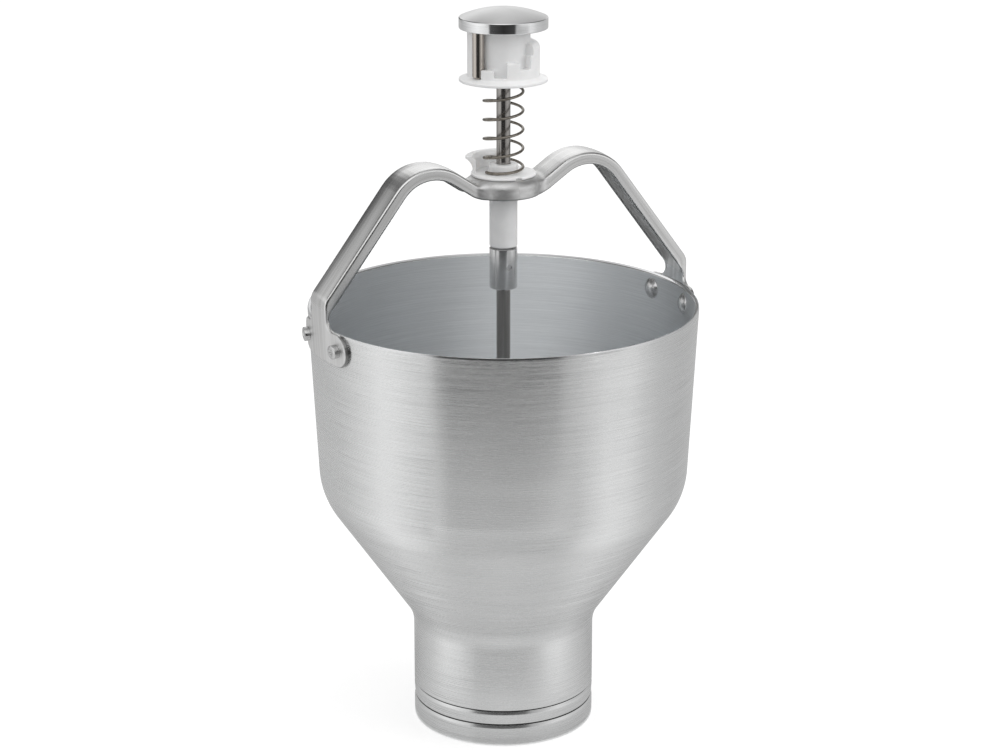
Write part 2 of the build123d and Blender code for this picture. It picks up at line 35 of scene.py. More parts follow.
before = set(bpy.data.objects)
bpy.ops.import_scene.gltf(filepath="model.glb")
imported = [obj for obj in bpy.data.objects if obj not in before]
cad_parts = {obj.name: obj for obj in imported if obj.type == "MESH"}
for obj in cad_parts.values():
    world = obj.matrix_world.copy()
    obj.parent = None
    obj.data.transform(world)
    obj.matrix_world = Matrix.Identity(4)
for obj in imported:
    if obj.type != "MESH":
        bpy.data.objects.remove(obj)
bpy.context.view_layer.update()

MM = 0.001

# Camera, as the photograph was taken
camera_azimuth = -26.0
camera_pitch = 17.23
camera_yaw = 0.0753
camera_reach = 1.171
camera_height = 0.5303
camera_lens = 95.94
sensor_width = 36.0

# Hopper
hopper_wall = 1.8
rim_radius = 89.2
hopper_height = 202.0
shoulder_radius = 84.8
shoulder_height = 114.0
shoulder_bend = 34.0
neck_radius = 42.15
neck_height = 52.7
neck_bend = 20.0
rim_bevel_height = 1.0
rim_bevel = 0.25
rim_flat = 0.2
rim_slope = 0.7
foot_rounding = 0.8
groove_tops = (11.0, 17.8)
groove_depth = 1.0
groove_flank = 2.3
groove_knee = 0.45
groove_slot = 0.7
groove_flank_bend = 2.0
groove_edge = 0.05
groove_margin = 0.01
band_inset = 0.3
rim_foot_bend = 3.0
rim_edge = 0.12
rim_inner_bend = 1.0

# Handle, heights above the hopper's rim
seat_clearance = 0.05
handle_sheet = 1.8
handle_width = 17.0
flange_depth = 5.8
channel_rounding = 0.9
web_crown = 0.5
dip_rise = 56.8
dip_half_length = 14.6
dip_bend = 6.0
rise_angle = 33.5
hump_bend = 22.8
leg_angle = 52.8
leg_bend = 8.0
leg_corner_rise = 12.6
flange_end_rise = 4.8
flange_end_fillet = 1.5
flange_stop_drop = 3.0
corner_start_rise = 3.0
corner_full_rise = 24.0
handle_top_rise = 72.0
boss_rise = 59.7
boss_radius = 16.5
boss_rounding = 4.0
boss_blend = 3.0
tab_rounding = 7.7
tab_neck_rise = 7.0
tab_neck_fillet = 4.5
sheet_edge = 0.45
bush_hole_radius = 6.4

# Rivets
rivet_drop = 7.5
rivet_pitch = 30.6
rivet_radius = 2.4
rivet_head_radius = 4.9
rivet_head_height = 2.2
rivet_end_radius = 3.15
rivet_end_height = 2.7
rivet_end_slope = 0.35
rivet_land = 0.6
rivet_dimple_radius = 1.3
rivet_dimple_depth = 0.8
rivet_dimple_floor = 0.4
rivet_roundings = (0.3, 0.5, 0.25, 0.2)
rivet_gap = 0.15
rivet_step = 0.1

# Knob
knob_radius = 19.9
knob_base = 327.9
knob_band = 5.0
knob_dome = 4.2
knob_rounding = 0.6
dome_inset = 0.02

# Return spring
wire_radius = 0.65
spring_mean_radius = 8.8
spring_bottom = 263.5
spring_top = 315.45
spring_half_turns = 13
spring_end_rise = 2.3
spring_start_angle = 183.0

# Fineness of the meshes
hopper_segments = 288
turned_segments = 128
rivet_segments = 48
bend_steps = 14
wire_sides = 14
steps_per_half_turn = 28
rivet_bend_steps = 6
handle_grid = 0.5
grid_margin = 2.0
moulding_voxel = 0.22
moulding_passes = 4

# Fading of the handle's marks, over distances from the boss, the rim, the channel's foot and the tab's edge
boss_fade = 6.0
tab_fade = (4.0, 12.0)
foot_fade = (-0.9, -0.2)
tab_edge_fade = (-0.4, -0.1)
tab_edge_top = 0.5


# Mesh helpers

def rounded(points, radii, steps=bend_steps):
    """A line of (radius, height) points with each inner corner rounded to its radius."""
    line = [Vector(points[0])]
    for before, corner, after, radius in zip(points, points[1:], points[2:], radii):
        corner = Vector(corner)
        back = (Vector(before) - corner).normalized()
        forth = (Vector(after) - corner).normalized()
        half = back.angle(forth) / 2
        if radius == 0:
            line.append(corner)
            continue
        middle = corner + (back + forth).normalized() * radius / math.sin(half)
        start = corner + back * radius / math.tan(half) - middle
        end = corner + forth * radius / math.tan(half) - middle
        sweep = start.angle_signed(end)
        for step in range(steps + 1):
            turned = Matrix.Rotation(-sweep * step / steps, 2) @ start
            line.append(middle + turned)
    line.append(Vector(points[-1]))
    return line


def offset_line(points, distance):
    """The line moved sideways by a distance, to the left of its direction, with its corners kept."""
    runs = []
    for start, end in zip(points, points[1:]):
        along = (Vector(end) - Vector(start)).normalized()
        aside = Vector((-along.y, along.x)) * distance
        runs.append((Vector(start) + aside, along))
    moved = [runs[0][0]]
    for (first, along_first), (second, along_second) in zip(runs, runs[1:]):
        across = along_first.x * along_second.y - along_first.y * along_second.x
        gap = second - first
        reach = (gap.x * along_second.y - gap.y * along_second.x) / across
        moved.append(first + along_first * reach)
    last_point, last_along = runs[-1]
    moved.append(last_point + last_along * (Vector(points[-1]) - Vector(points[-2])).length)
    return moved


def piece_from(name, mesh_data, materials, body, replaced=()):
    """A finished piece: linked, smooth, painted, and riding on its body."""
    piece = bpy.data.objects.new(name, mesh_data)
    bpy.context.scene.collection.objects.link(piece)
    for material in materials:
        piece.data.materials.append(material)
    piece.data.shade_smooth()
    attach(piece, body)
    if replaced:
        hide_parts(*replaced)
    return piece


def turn_into(mesh, line, segments, closed=False, place=Matrix.Identity(4), paint=None):
    """Turns a line of (radius, height) points about the Z axis of a place, into the mesh."""
    rings = []
    for radius, height in line:
        if radius < 1e-6:
            rings.append([mesh.verts.new(place @ Vector((0, 0, height * MM)))])
            continue
        ring = []
        for segment in range(segments):
            angle = 2 * math.pi * segment / segments
            around = Vector((radius * math.cos(angle), radius * math.sin(angle), height)) * MM
            ring.append(mesh.verts.new(place @ around))
        rings.append(ring)
    pairs = list(zip(rings, rings[1:]))
    if closed:
        pairs.append((rings[-1], rings[0]))
    for number, (lower, upper) in enumerate(pairs):
        for segment in range(segments):
            beside = (segment + 1) % segments
            if len(lower) == 1:
                corners = (lower[0], upper[beside], upper[segment])
            elif len(upper) == 1:
                corners = (lower[segment], lower[beside], upper[0])
            else:
                corners = (lower[segment], lower[beside], upper[beside], upper[segment])
            face = mesh.faces.new(corners)
            if paint:
                face.material_index = paint(number)


def mesh_data_of(mesh, name):
    """The finished mesh of a bmesh, with its faces turned outwards."""
    bmesh.ops.recalc_face_normals(mesh, faces=mesh.faces)
    data = bpy.data.meshes.new(name)
    mesh.to_mesh(data)
    mesh.free()
    return data


def softened_copy(node, voxel, passes):
    """The mesh of a CAD node with its edges eased, as pressing, moulding and tumbling leave them."""
    helper = bpy.data.objects.new(node + "_helper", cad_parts[node].data.copy())
    bpy.context.scene.collection.objects.link(helper)
    remesh = helper.modifiers.new("remesh", "REMESH")
    remesh.mode = "VOXEL"
    remesh.voxel_size = voxel * MM
    smooth = helper.modifiers.new("smooth", "SMOOTH")
    smooth.iterations = passes
    graph = bpy.context.evaluated_depsgraph_get()
    data = bpy.data.meshes.new_from_object(helper.evaluated_get(graph))
    bpy.data.objects.remove(helper)
    data.materials.clear()
    return data


# Solid helpers: a solid is a field of distances, below zero inside

def blended(first, second, radius):
    """Both solids together, with a fillet where they meet."""
    near_first = np.maximum(radius - first, 0)
    near_second = np.maximum(radius - second, 0)
    return np.maximum(radius, np.minimum(first, second)) - np.hypot(near_first, near_second)


def trimmed(first, second, radius):
    """What lies in both solids, with the edge between them rounded."""
    near_first = np.maximum(radius + first, 0)
    near_second = np.maximum(radius + second, 0)
    return np.minimum(-radius, np.maximum(first, second)) + np.hypot(near_first, near_second)


def eased(value, start, end):
    """A smooth step from 0 at start to 1 at end."""
    share = np.clip((value - start) / (end - start), 0, 1)
    return share * share * (3 - 2 * share)


def along_line(line, x, z):
    """Signed distance of points to a line, above zero on its right hand, and the run along it to them."""
    nearest = np.full(np.broadcast(x, z).shape, np.inf)
    signed = np.zeros_like(nearest)
    passed = np.zeros_like(nearest)
    length = 0.0
    for start, end in zip(line, line[1:]):
        run = end - start
        from_x = x - start.x
        from_z = z - start.y
        share = np.clip((from_x * run.x + from_z * run.y) / run.length_squared, 0, 1)
        apart = np.hypot(from_x - share * run.x, from_z - share * run.y)
        side = np.sign(from_x * run.y - from_z * run.x)
        closer = apart < nearest
        nearest = np.where(closer, apart, nearest)
        signed = np.where(closer, apart * side, signed)
        passed = np.where(closer, length + share * run.length, passed)
        length += run.length
    return signed, passed


def skin_of(field, corner, grid):
    """A quad mesh of a field's zero surface: one point in each grid cell that the surface crosses."""
    inside = field < 0
    cell_shape = tuple(size - 1 for size in field.shape)
    corner_count = np.zeros(cell_shape, int)
    offsets = [(a, b, c) for a in (0, 1) for b in (0, 1) for c in (0, 1)]
    for a, b, c in offsets:
        corner_count += inside[a:a + cell_shape[0], b:b + cell_shape[1], c:c + cell_shape[2]]
    crossed = (corner_count > 0) & (corner_count < 8)
    cells = np.argwhere(crossed)
    number = np.full(cell_shape, -1)
    number[crossed] = np.arange(len(cells))
    total = np.zeros((len(cells), 3))
    hits = np.zeros((len(cells), 1))
    for axis in range(3):
        step = np.eye(3, dtype=int)[axis]
        for offset in offsets:
            if offset[axis]:
                continue
            start = cells + offset
            end = start + step
            first = field[tuple(start.T)]
            second = field[tuple(end.T)]
            cut = ((first < 0) != (second < 0))[:, None]
            share = (first / np.where(first == second, 1, first - second))[:, None]
            total += np.where(cut, start + share * step, 0)
            hits += cut
    points = (corner + grid * total / hits) * MM
    faces = []
    for axis in range(3):
        step = np.eye(3, dtype=int)[axis]
        other, third = np.roll(np.eye(3, dtype=int), -1 - axis, axis=0)[:2]
        size = np.array(field.shape) - step
        low = field[:size[0], :size[1], :size[2]] < 0
        high = field[step[0]:, step[1]:, step[2]:] < 0
        for leaving in (True, False):
            edges = np.argwhere((low & ~high) if leaving else (~low & high))
            around = [edges - other - third, edges - third, edges, edges - other]
            ring = [number[tuple(place.T)] for place in around]
            faces.append(np.stack(ring if leaving else ring[::-1], axis=1))
    data = bpy.data.meshes.new("skin")
    data.from_pydata(points.tolist(), [], np.concatenate(faces).tolist())
    return data


# Material helpers

def new_material(name):
    """An empty node material and its shader."""
    material = bpy.data.materials.new(name)
    material.use_nodes = True
    nodes = material.node_tree.nodes
    nodes.clear()
    output = nodes.new("ShaderNodeOutputMaterial")
    shader = nodes.new("ShaderNodeBsdfPrincipled")
    material.node_tree.links.new(shader.outputs["BSDF"], output.inputs["Surface"])
    return material, shader


def noise(material, stretch, detail=3.0, space=None):
    """Noise with stretch cells per metre along each axis of the piece, or of a space that its points name."""
    tree = material.node_tree
    if space:
        source = tree.nodes.new("ShaderNodeAttribute")
        source.attribute_name = space
        place = source.outputs["Vector"]
    else:
        place = tree.nodes.new("ShaderNodeTexCoord").outputs["Object"]
    mapping = tree.nodes.new("ShaderNodeMapping")
    mapping.inputs["Scale"].default_value = stretch
    texture = tree.nodes.new("ShaderNodeTexNoise")
    texture.inputs["Scale"].default_value = 1.0
    texture.inputs["Detail"].default_value = detail
    tree.links.new(place, mapping.inputs["Vector"])
    tree.links.new(mapping.outputs["Vector"], texture.inputs["Vector"])
    return texture.outputs["Fac"]


def ranged(material, value, low, high, start=0.3, end=0.7):
    """A value spread from start and end to low and high."""
    spread = material.node_tree.nodes.new("ShaderNodeMapRange")
    spread.inputs["From Min"].default_value = start
    spread.inputs["From Max"].default_value = end
    spread.inputs["To Min"].default_value = low
    spread.inputs["To Max"].default_value = high
    material.node_tree.links.new(value, spread.inputs["Value"])
    return spread.outputs["Result"]


def tinted(material, value, dark, light, start=0.3, end=0.7):
    """A colour that goes from dark to light with a value."""
    ramp = material.node_tree.nodes.new("ShaderNodeValToRGB")
    ramp.color_ramp.elements[0].position = start
    ramp.color_ramp.elements[0].color = (*dark, 1)
    ramp.color_ramp.elements[1].position = end
    ramp.color_ramp.elements[1].color = (*light, 1)
    material.node_tree.links.new(value, ramp.inputs["Fac"])
    return ramp.outputs["Color"]


def bumped(material, value, strength, depth, below=None):
    """A bump of a depth in millimetres from a value, on top of another bump if one is given."""
    bump = material.node_tree.nodes.new("ShaderNodeBump")
    bump.inputs["Strength"].default_value = strength
    bump.inputs["Distance"].default_value = depth * MM
    material.node_tree.links.new(value, bump.inputs["Height"])
    if below:
        material.node_tree.links.new(below, bump.inputs["Normal"])
    return bump.outputs["Normal"]


def marked(material, attribute, amount):
    """The shader of a metal, and a sum that adds an amount where its points carry the attribute."""
    tree = material.node_tree
    shader = next(node for node in tree.nodes if node.type == "BSDF_PRINCIPLED")
    source = tree.nodes.new("ShaderNodeAttribute")
    source.attribute_name = attribute
    add = tree.nodes.new("ShaderNodeMath")
    add.operation = "MULTIPLY_ADD"
    add.inputs[1].default_value = amount
    tree.links.new(source.outputs["Fac"], add.inputs[0])
    return shader, add


def dulled(material, attribute, amount):
    """Adds to a metal's roughness where its points carry the attribute."""
    shader, add = marked(material, attribute, amount)
    links = material.node_tree.links
    links.new(shader.inputs["Roughness"].links[0].from_socket, add.inputs[2])
    links.new(add.outputs["Value"], shader.inputs["Roughness"])


def darkened(material, attribute, share):
    """Takes a share of a metal's brightness away where its points carry the attribute."""
    shader, add = marked(material, attribute, -share)
    add.inputs[2].default_value = 1.0
    links = material.node_tree.links
    shade = material.node_tree.nodes.new("ShaderNodeHueSaturation")
    links.new(add.outputs["Value"], shade.inputs["Value"])
    links.new(shader.inputs["Base Color"].links[0].from_socket, shade.inputs["Color"])
    links.new(shade.outputs["Color"], shader.inputs["Base Color"])


def mixed(material, first, second, share):
    """Two values mixed, with a share of the second."""
    mix = material.node_tree.nodes.new("ShaderNodeMix")
    mix.inputs["Factor"].default_value = share
    material.node_tree.links.new(first, mix.inputs["A"])
    material.node_tree.links.new(second, mix.inputs["B"])
    return mix.outputs["Result"]


grain_share = 0.25
grain_depth = 0.05
wave_bump = 0.25
wave_depth = 0.25


def metal(
    name, dark, light, smooth, rough, streaks, mottle, mottled=0.5, grain=None, streak_bump=0.02, wave=None,
    brushed=0.0, space=None,
):
    """A bare metal. Streaks and grain are its tool marks and mottle its slow changes, in cells per metre."""
    material, shader = new_material(name)
    links = material.node_tree.links
    shader.inputs["Metallic"].default_value = 1.0
    lines = noise(material, streaks, 4.0, space)
    if grain:
        lines = mixed(material, lines, noise(material, grain, 2.0, space), grain_share)
    uneven = mixed(material, lines, noise(material, mottle, 2.0), mottled)
    links.new(tinted(material, lines, dark, light), shader.inputs["Base Color"])
    links.new(ranged(material, uneven, smooth, rough), shader.inputs["Roughness"])
    normal = bumped(material, lines, streak_bump, grain_depth)
    if wave:
        normal = bumped(material, noise(material, wave, 1.0), wave_bump, wave_depth, normal)
    links.new(normal, shader.inputs["Normal"])
    if brushed:
        shader.inputs["Anisotropic"].default_value = brushed
        shader.inputs["Anisotropic Rotation"].default_value = 0.25
        tangent = material.node_tree.nodes.new("ShaderNodeTangent")
        tangent.direction_type = "RADIAL"
        tangent.axis = "Z"
        links.new(tangent.outputs["Tangent"], shader.inputs["Tangent"])
    return material


# Materials

ring_streaks = (26, 26, 3800)
axis_streaks = (1800, 1800, 12)

spun_outside = metal(
    "spun_outside", (0.6, 0.605, 0.605), (0.9, 0.905, 0.905), 0.1, 0.44,
    ring_streaks, (9, 9, 60), mottled=0.2, grain=(240, 240, 5200), streak_bump=0.03, brushed=0.9,
)
spun_inside = metal(
    "spun_inside", (0.66, 0.68, 0.695), (0.8, 0.82, 0.835), 0.55, 0.68,
    (26, 26, 3000), (7, 7, 25), grain=(200, 200, 4000), streak_bump=0.015, brushed=0.85,
)
spun_rim = metal(
    "spun_rim", (0.66, 0.665, 0.67), (0.78, 0.785, 0.79), 0.14, 0.22,
    (60, 60, 900), (20, 20, 20), brushed=0.5,
)
rolled_groove = metal(
    "rolled_groove", (0.66, 0.665, 0.665), (0.82, 0.825, 0.825), 0.16, 0.26,
    ring_streaks, (60, 60, 60), streak_bump=0.02, brushed=0.5,
)
groove_shade = metal(
    "groove_shade", (0.08, 0.08, 0.08), (0.14, 0.14, 0.14), 0.4, 0.55,
    ring_streaks, (60, 60, 60), brushed=0.3,
)
plated_steel = metal(
    "plated_steel", (0.64, 0.638, 0.632), (0.82, 0.82, 0.82), 0.14, 0.28,
    (18, 700, 700), (30, 30, 30), streak_bump=0.03, space="press_grain",
)
dulled(plated_steel, "press_dull", 0.26)
# Painted shade: the sheet's cut edges, along the flanges' lower edges and round the tabs, made darker
darkened(plated_steel, "painted_edge_shade", 0.6)
rivet_metal = metal(
    "rivet_metal", (0.5, 0.5, 0.5), (0.68, 0.68, 0.68), 0.18, 0.32,
    (900, 900, 900), (200, 200, 200), streak_bump=0.06, wave=(420, 420, 420),
)
# Steel of the rods, made darker than bare steel as painted shade
rod_steel_with_painted_shade = metal(
    "rod_steel_with_painted_shade", (0.33, 0.316, 0.302), (0.42, 0.405, 0.39), 0.14, 0.22,
    axis_streaks, (60, 60, 60), streak_bump=0.02, brushed=0.9,
)
pin_steel = metal(
    "pin_steel", (0.46, 0.42, 0.38), (0.62, 0.58, 0.54), 0.1, 0.2,
    axis_streaks, (60, 60, 60), streak_bump=0.01,
)
turned_steel = metal(
    "turned_steel", (0.7, 0.7, 0.7), (0.82, 0.82, 0.82), 0.14, 0.22,
    (25, 25, 2600), (80, 80, 80), streak_bump=0.015, brushed=0.3,
)
knob_metal = metal(
    "knob_metal", (0.76, 0.765, 0.77), (0.88, 0.885, 0.89), 0.06, 0.14,
    (40, 40, 3000), (90, 90, 90), streak_bump=0.012, brushed=0.3,
)
dome_metal = metal(
    "dome_metal", (0.63, 0.63, 0.63), (0.72, 0.72, 0.72), 0.32, 0.42,
    (90, 90, 90), (60, 60, 60), streak_bump=0.01, brushed=0.5,
)
spring_wire = metal(
    "spring_wire", (0.2, 0.18, 0.155), (0.36, 0.33, 0.29), 0.22, 0.4,
    (700, 700, 1500), (120, 120, 120), streak_bump=0.05,
)
cast_aluminium = metal(
    "cast_aluminium", (0.6, 0.605, 0.61), (0.74, 0.745, 0.75), 0.34, 0.52,
    (1300, 1300, 1300), (140, 140, 140), streak_bump=0.25, wave=(600, 600, 600),
)
hardware_steel = metal(
    "hardware_steel", (0.5, 0.5, 0.51), (0.68, 0.68, 0.68), 0.2, 0.38,
    (900, 900, 900), (160, 160, 160), streak_bump=0.06,
)


def moulded_plastic(name, dark, light):
    """White moulded nylon: milky, satin, with a faint grain."""
    material, shader = new_material(name)
    links = material.node_tree.links
    clouds = noise(material, (130, 130, 130), 3.0)
    grain = noise(material, (2600, 2600, 2600), 2.0)
    links.new(tinted(material, clouds, dark, light), shader.inputs["Base Color"])
    links.new(ranged(material, grain, 0.34, 0.48), shader.inputs["Roughness"])
    shader.inputs["Subsurface Weight"].default_value = 0.35
    shader.inputs["Subsurface Radius"].default_value = (1.0, 0.95, 0.9)
    shader.inputs["Subsurface Scale"].default_value = 2.5 * MM
    normal = bumped(material, grain, 0.08, grain_depth)
    normal = bumped(material, noise(material, (240, 240, 240), 1.0), 0.12, 0.2, normal)
    links.new(normal, shader.inputs["Normal"])
    return material


white_plastic = moulded_plastic("white_plastic", (0.81, 0.81, 0.81), (0.87, 0.87, 0.87))


# Hopper: outer skin from the foot up, over the rim and down the inside

wall_line = [
    (neck_radius, 0),
    (neck_radius, neck_height),
    (shoulder_radius, shoulder_height),
    (rim_radius, hopper_height),
]
inner_line = offset_line(wall_line, hopper_wall)
groove_points = []
groove_corners = []
for top, above in zip(groove_tops, (band_inset, 0)):
    groove_points += [
        (neck_radius, top - groove_flank),
        (neck_radius - groove_knee, top - groove_slot),
        (neck_radius - groove_depth, top - groove_slot),
        (neck_radius - groove_depth, top),
        (neck_radius - above, top),
    ]
    groove_corners += [groove_flank_bend, groove_edge, groove_edge, groove_edge, groove_edge]

rim_line = [
    (rim_radius, hopper_height - rim_bevel_height),
    (rim_radius - rim_bevel, hopper_height),
    (rim_radius - rim_bevel - rim_flat, hopper_height),
    (inner_line[-1].x, hopper_height - rim_slope),
]
inner_foot = (inner_line[0].x, 0)
skin = rounded(
    [inner_foot, wall_line[0], *groove_points, *wall_line[1:-1], *rim_line, *inner_line[-2:0:-1], inner_foot],
    [
        foot_rounding,
        *groove_corners,
        neck_bend,
        shoulder_bend,
        rim_foot_bend,
        rim_edge,
        rim_edge,
        rim_inner_bend,
        shoulder_bend - hopper_wall,
        neck_bend + hopper_wall,
    ],
)[:-1]

on_rim = [place for place, point in enumerate(skin) if point.y > hopper_height - rim_bevel_height]
rim_start = on_rim[0]
rim_end = on_rim[-1]
hopper_materials = [spun_outside, spun_rim, spun_inside, rolled_groove, groove_shade]


def hopper_paint(number):
    """The place in the list of the hopper's materials, by the place along the skin."""
    if number >= rim_end:
        return hopper_materials.index(spun_inside)
    if number >= rim_start:
        return hopper_materials.index(spun_rim)
    middle = (skin[number] + skin[number + 1]) / 2
    if not any(top - groove_flank < middle.y < top + groove_margin for top in groove_tops):
        return hopper_materials.index(spun_outside)
    in_slot = middle.x < neck_radius - groove_knee
    return hopper_materials.index(groove_shade if in_slot else rolled_groove)


mesh = bmesh.new()
turn_into(mesh, skin, hopper_segments, closed=True, paint=hopper_paint)
hopper_shell = piece_from(
    "hopper_shell", mesh_data_of(mesh, "hopper_shell"), hopper_materials,
    "frame", ["hopper"],
)

# Handle: a pressed channel with a boss in the middle and a tab at each end, worked out as one quarter

wall_slope = (rim_radius - shoulder_radius) / (hopper_height - shoulder_height)
rivet_height = hopper_height - rivet_drop
tab_thickness = seat_clearance + handle_sheet


def wall_radius(height):
    """Outer radius of the hopper's straight wall at a height, also above the rim."""
    return rim_radius + wall_slope * (height - hopper_height)


tab_foot_height = rivet_height - tab_rounding
leg_height = hopper_height + leg_corner_rise
dip_height = hopper_height + dip_rise
boss_top = hopper_height + boss_rise
rise_slope = math.tan(math.radians(rise_angle))
leg_slope = math.tan(math.radians(leg_angle))
leg_corner = (wall_radius(leg_height) + tab_thickness, leg_height)
leg_start_height = leg_height + leg_slope * leg_corner[0]
rise_start_height = dip_height - rise_slope * dip_half_length
hump_reach = (leg_start_height - rise_start_height) / (rise_slope + leg_slope)
web_line = rounded(
    [
        (wall_radius(tab_foot_height) + tab_thickness, tab_foot_height),
        leg_corner,
        (hump_reach, rise_start_height + rise_slope * hump_reach),
        (dip_half_length, dip_height),
        (0, dip_height),
    ],
    [leg_bend, hump_bend, dip_bend],
)


def handle_field(x, y, z):
    """The handle's quarter at positive x and y, as a field over three axes of points."""
    web, _ = along_line(web_line, x, z)
    reach = np.hypot(x, y)
    wall = reach - wall_radius(z)
    corner_share = eased(z, hopper_height + corner_start_rise, hopper_height + corner_full_rise)
    edge = sheet_edge + (channel_rounding - sheet_edge) * corner_share
    crown = web_crown * (2 * y / handle_width) ** 2
    channel = trimmed(y - handle_width / 2, web + crown, edge)
    boss = trimmed(reach - boss_radius, z - boss_top, boss_rounding)
    skin = blended(channel, boss, boss_blend)
    sheet = trimmed(np.maximum(skin, -skin - handle_sheet), -web - flange_depth, sheet_edge)
    flange_end_height = hopper_height + flange_end_rise
    flange_end = wall_radius(flange_end_height) + seat_clearance + handle_sheet / 2
    lean = math.radians(leg_angle)
    above = (x - flange_end) * math.sin(lean) + (z - flange_end_height) * math.cos(lean)
    end_cut = trimmed(above, wall - seat_clearance, flange_end_fillet)
    end_cut = np.maximum(end_cut, flange_end - 2 * flange_depth - x)
    sheet = np.maximum(sheet, np.maximum(-end_cut, hopper_height - flange_stop_drop - z))
    plate = np.abs(wall - seat_clearance - handle_sheet / 2) - handle_sheet / 2
    lobes = np.hypot(np.maximum(y - rivet_pitch / 2, 0), z - rivet_height) - tab_rounding
    neck = np.maximum(rivet_height - z, z - hopper_height - tab_neck_rise)
    neck = np.maximum(neck, y - handle_width / 2)
    tab = trimmed(blended(lobes, neck, tab_neck_fillet), plate, sheet_edge)
    return np.maximum(np.minimum(sheet, tab), bush_hole_radius - reach)


def grid_line(start, end):
    """Grid points from start to past end."""
    return np.arange(start, end + handle_grid, handle_grid)


quarter_x = grid_line(handle_grid / 2, leg_corner[0] + grid_margin)
quarter_y = grid_line(handle_grid / 2, rivet_pitch / 2 + tab_rounding + grid_margin)
heights = grid_line(tab_foot_height - grid_margin, hopper_height + handle_top_rise)
field = handle_field(quarter_x[:, None, None], quarter_y[None, :, None], heights[None, None, :])
field = np.concatenate([field[::-1], field], axis=0)
field = np.concatenate([field[:, ::-1], field], axis=1)
handle_corner = np.array([-quarter_x[-1], -quarter_y[-1], heights[0]])
handle_mesh = skin_of(field, handle_corner, handle_grid)

# Marks on the handle's points: the run of its grain, where it is dull, and where painted shade darkens the
# sheet's cut edges


def mark_points(name, values):
    """Gives each point of the handle a number under a name."""
    mark = handle_mesh.attributes.new(name, "FLOAT", "POINT")
    mark.data.foreach_set("value", values)


places = np.zeros(len(handle_mesh.vertices) * 3)
handle_mesh.vertices.foreach_get("co", places)
across, beside, height = (places.reshape(-1, 3) / MM).T
depth, run = along_line(web_line, np.abs(across), height)
grain = handle_mesh.attributes.new("press_grain", "FLOAT_VECTOR", "POINT")
grain.data.foreach_set("vector", (np.stack([run * np.sign(across), beside, depth], axis=1) * MM).ravel())

from_axis = np.hypot(across, beside)
on_boss = 1 - eased(from_axis, boss_radius, boss_radius + boss_fade)
above_tab = eased(height, hopper_height + tab_fade[0], hopper_height + tab_fade[1])
off_wall = from_axis - wall_radius(height) - seat_clearance
on_tab = (1 - above_tab) * (off_wall > handle_sheet / 2)
into_flange = np.abs(beside) - handle_width / 2 + handle_sheet
under_web = eased(-depth, handle_sheet / 3, handle_sheet) * (1 - eased(into_flange, 0, handle_sheet / 2))
mark_points("press_dull", np.maximum(np.maximum(on_boss, on_tab), 2 * above_tab * under_web))

# Where the painted shade goes: along the flanges' lower edges and round the tab's outer edge
to_lobe = np.hypot(np.maximum(np.abs(beside) - rivet_pitch / 2, 0), height - rivet_height)
at_foot = eased(-depth - flange_depth, *foot_fade)
at_tab_edge = eased(to_lobe - tab_rounding, *tab_edge_fade) * (height < hopper_height - tab_edge_top)
mark_points("painted_edge_shade", np.maximum(at_foot, at_tab_edge))

piece_from("handle_pressing", handle_mesh, [plated_steel], "frame", ["handle"])

# Rivets: domed heads inside the hopper, dimpled ends outside the tabs

rivet_reach = wall_radius(rivet_height)
rivet_turn = math.asin(rivet_pitch / 2 / rivet_reach)
head_face = -hopper_wall - rivet_gap
dome_radius = (rivet_head_radius**2 + rivet_head_height**2) / 2 / rivet_head_height
head_line = []
for step in range(bend_steps + 1):
    height = rivet_head_height * (1 - (step / bend_steps) ** 2)
    radius = math.sqrt(max(0, dome_radius**2 - (dome_radius - rivet_head_height + height) ** 2))
    head_line.append((radius, head_face - height))
head_line[0] = (0, head_face - rivet_head_height)
end_top = tab_thickness + rivet_end_height
rivet_line = [
    *head_line,
    (rivet_head_radius - rivet_step, head_face + rivet_step),
    (rivet_radius, head_face + rivet_step),
    (rivet_radius, tab_thickness),
    (rivet_end_radius, tab_thickness),
    *rounded(
        [
            (rivet_end_radius, tab_thickness + rivet_step),
            (rivet_end_radius, end_top - rivet_end_slope),
            (rivet_dimple_radius + rivet_land, end_top),
            (rivet_dimple_radius, end_top),
            (rivet_dimple_floor, end_top - rivet_dimple_depth),
            (0, end_top - rivet_dimple_depth),
        ],
        rivet_roundings,
        rivet_bend_steps,
    ),
]
mesh = bmesh.new()
for middle in (0, math.pi):
    for side in (-rivet_turn, rivet_turn):
        outward = Vector((math.cos(middle + side), math.sin(middle + side), -wall_slope)).normalized()
        on_wall = Vector((math.cos(middle + side), math.sin(middle + side), 0)) * rivet_reach
        seat = Matrix.Translation((on_wall + Vector((0, 0, rivet_height))) * MM)
        facing = outward.to_track_quat("Z", "Y").to_matrix().to_4x4()
        turn_into(mesh, rivet_line, rivet_segments, place=seat @ facing)
piece_from(
    "handle_rivet_set", mesh_data_of(mesh, "handle_rivet_set"), [rivet_metal],
    "frame", ["handle_rivets"],
)

# Plastic pieces with moulded edges

for node, body in (("guide_bush", "frame"), ("portion_dial", "dial")):
    moulding = softened_copy(node, moulding_voxel, moulding_passes)
    piece_from(node + "_moulding", moulding, [white_plastic], body, [node])

# Knob: a turned band and a shallow dome

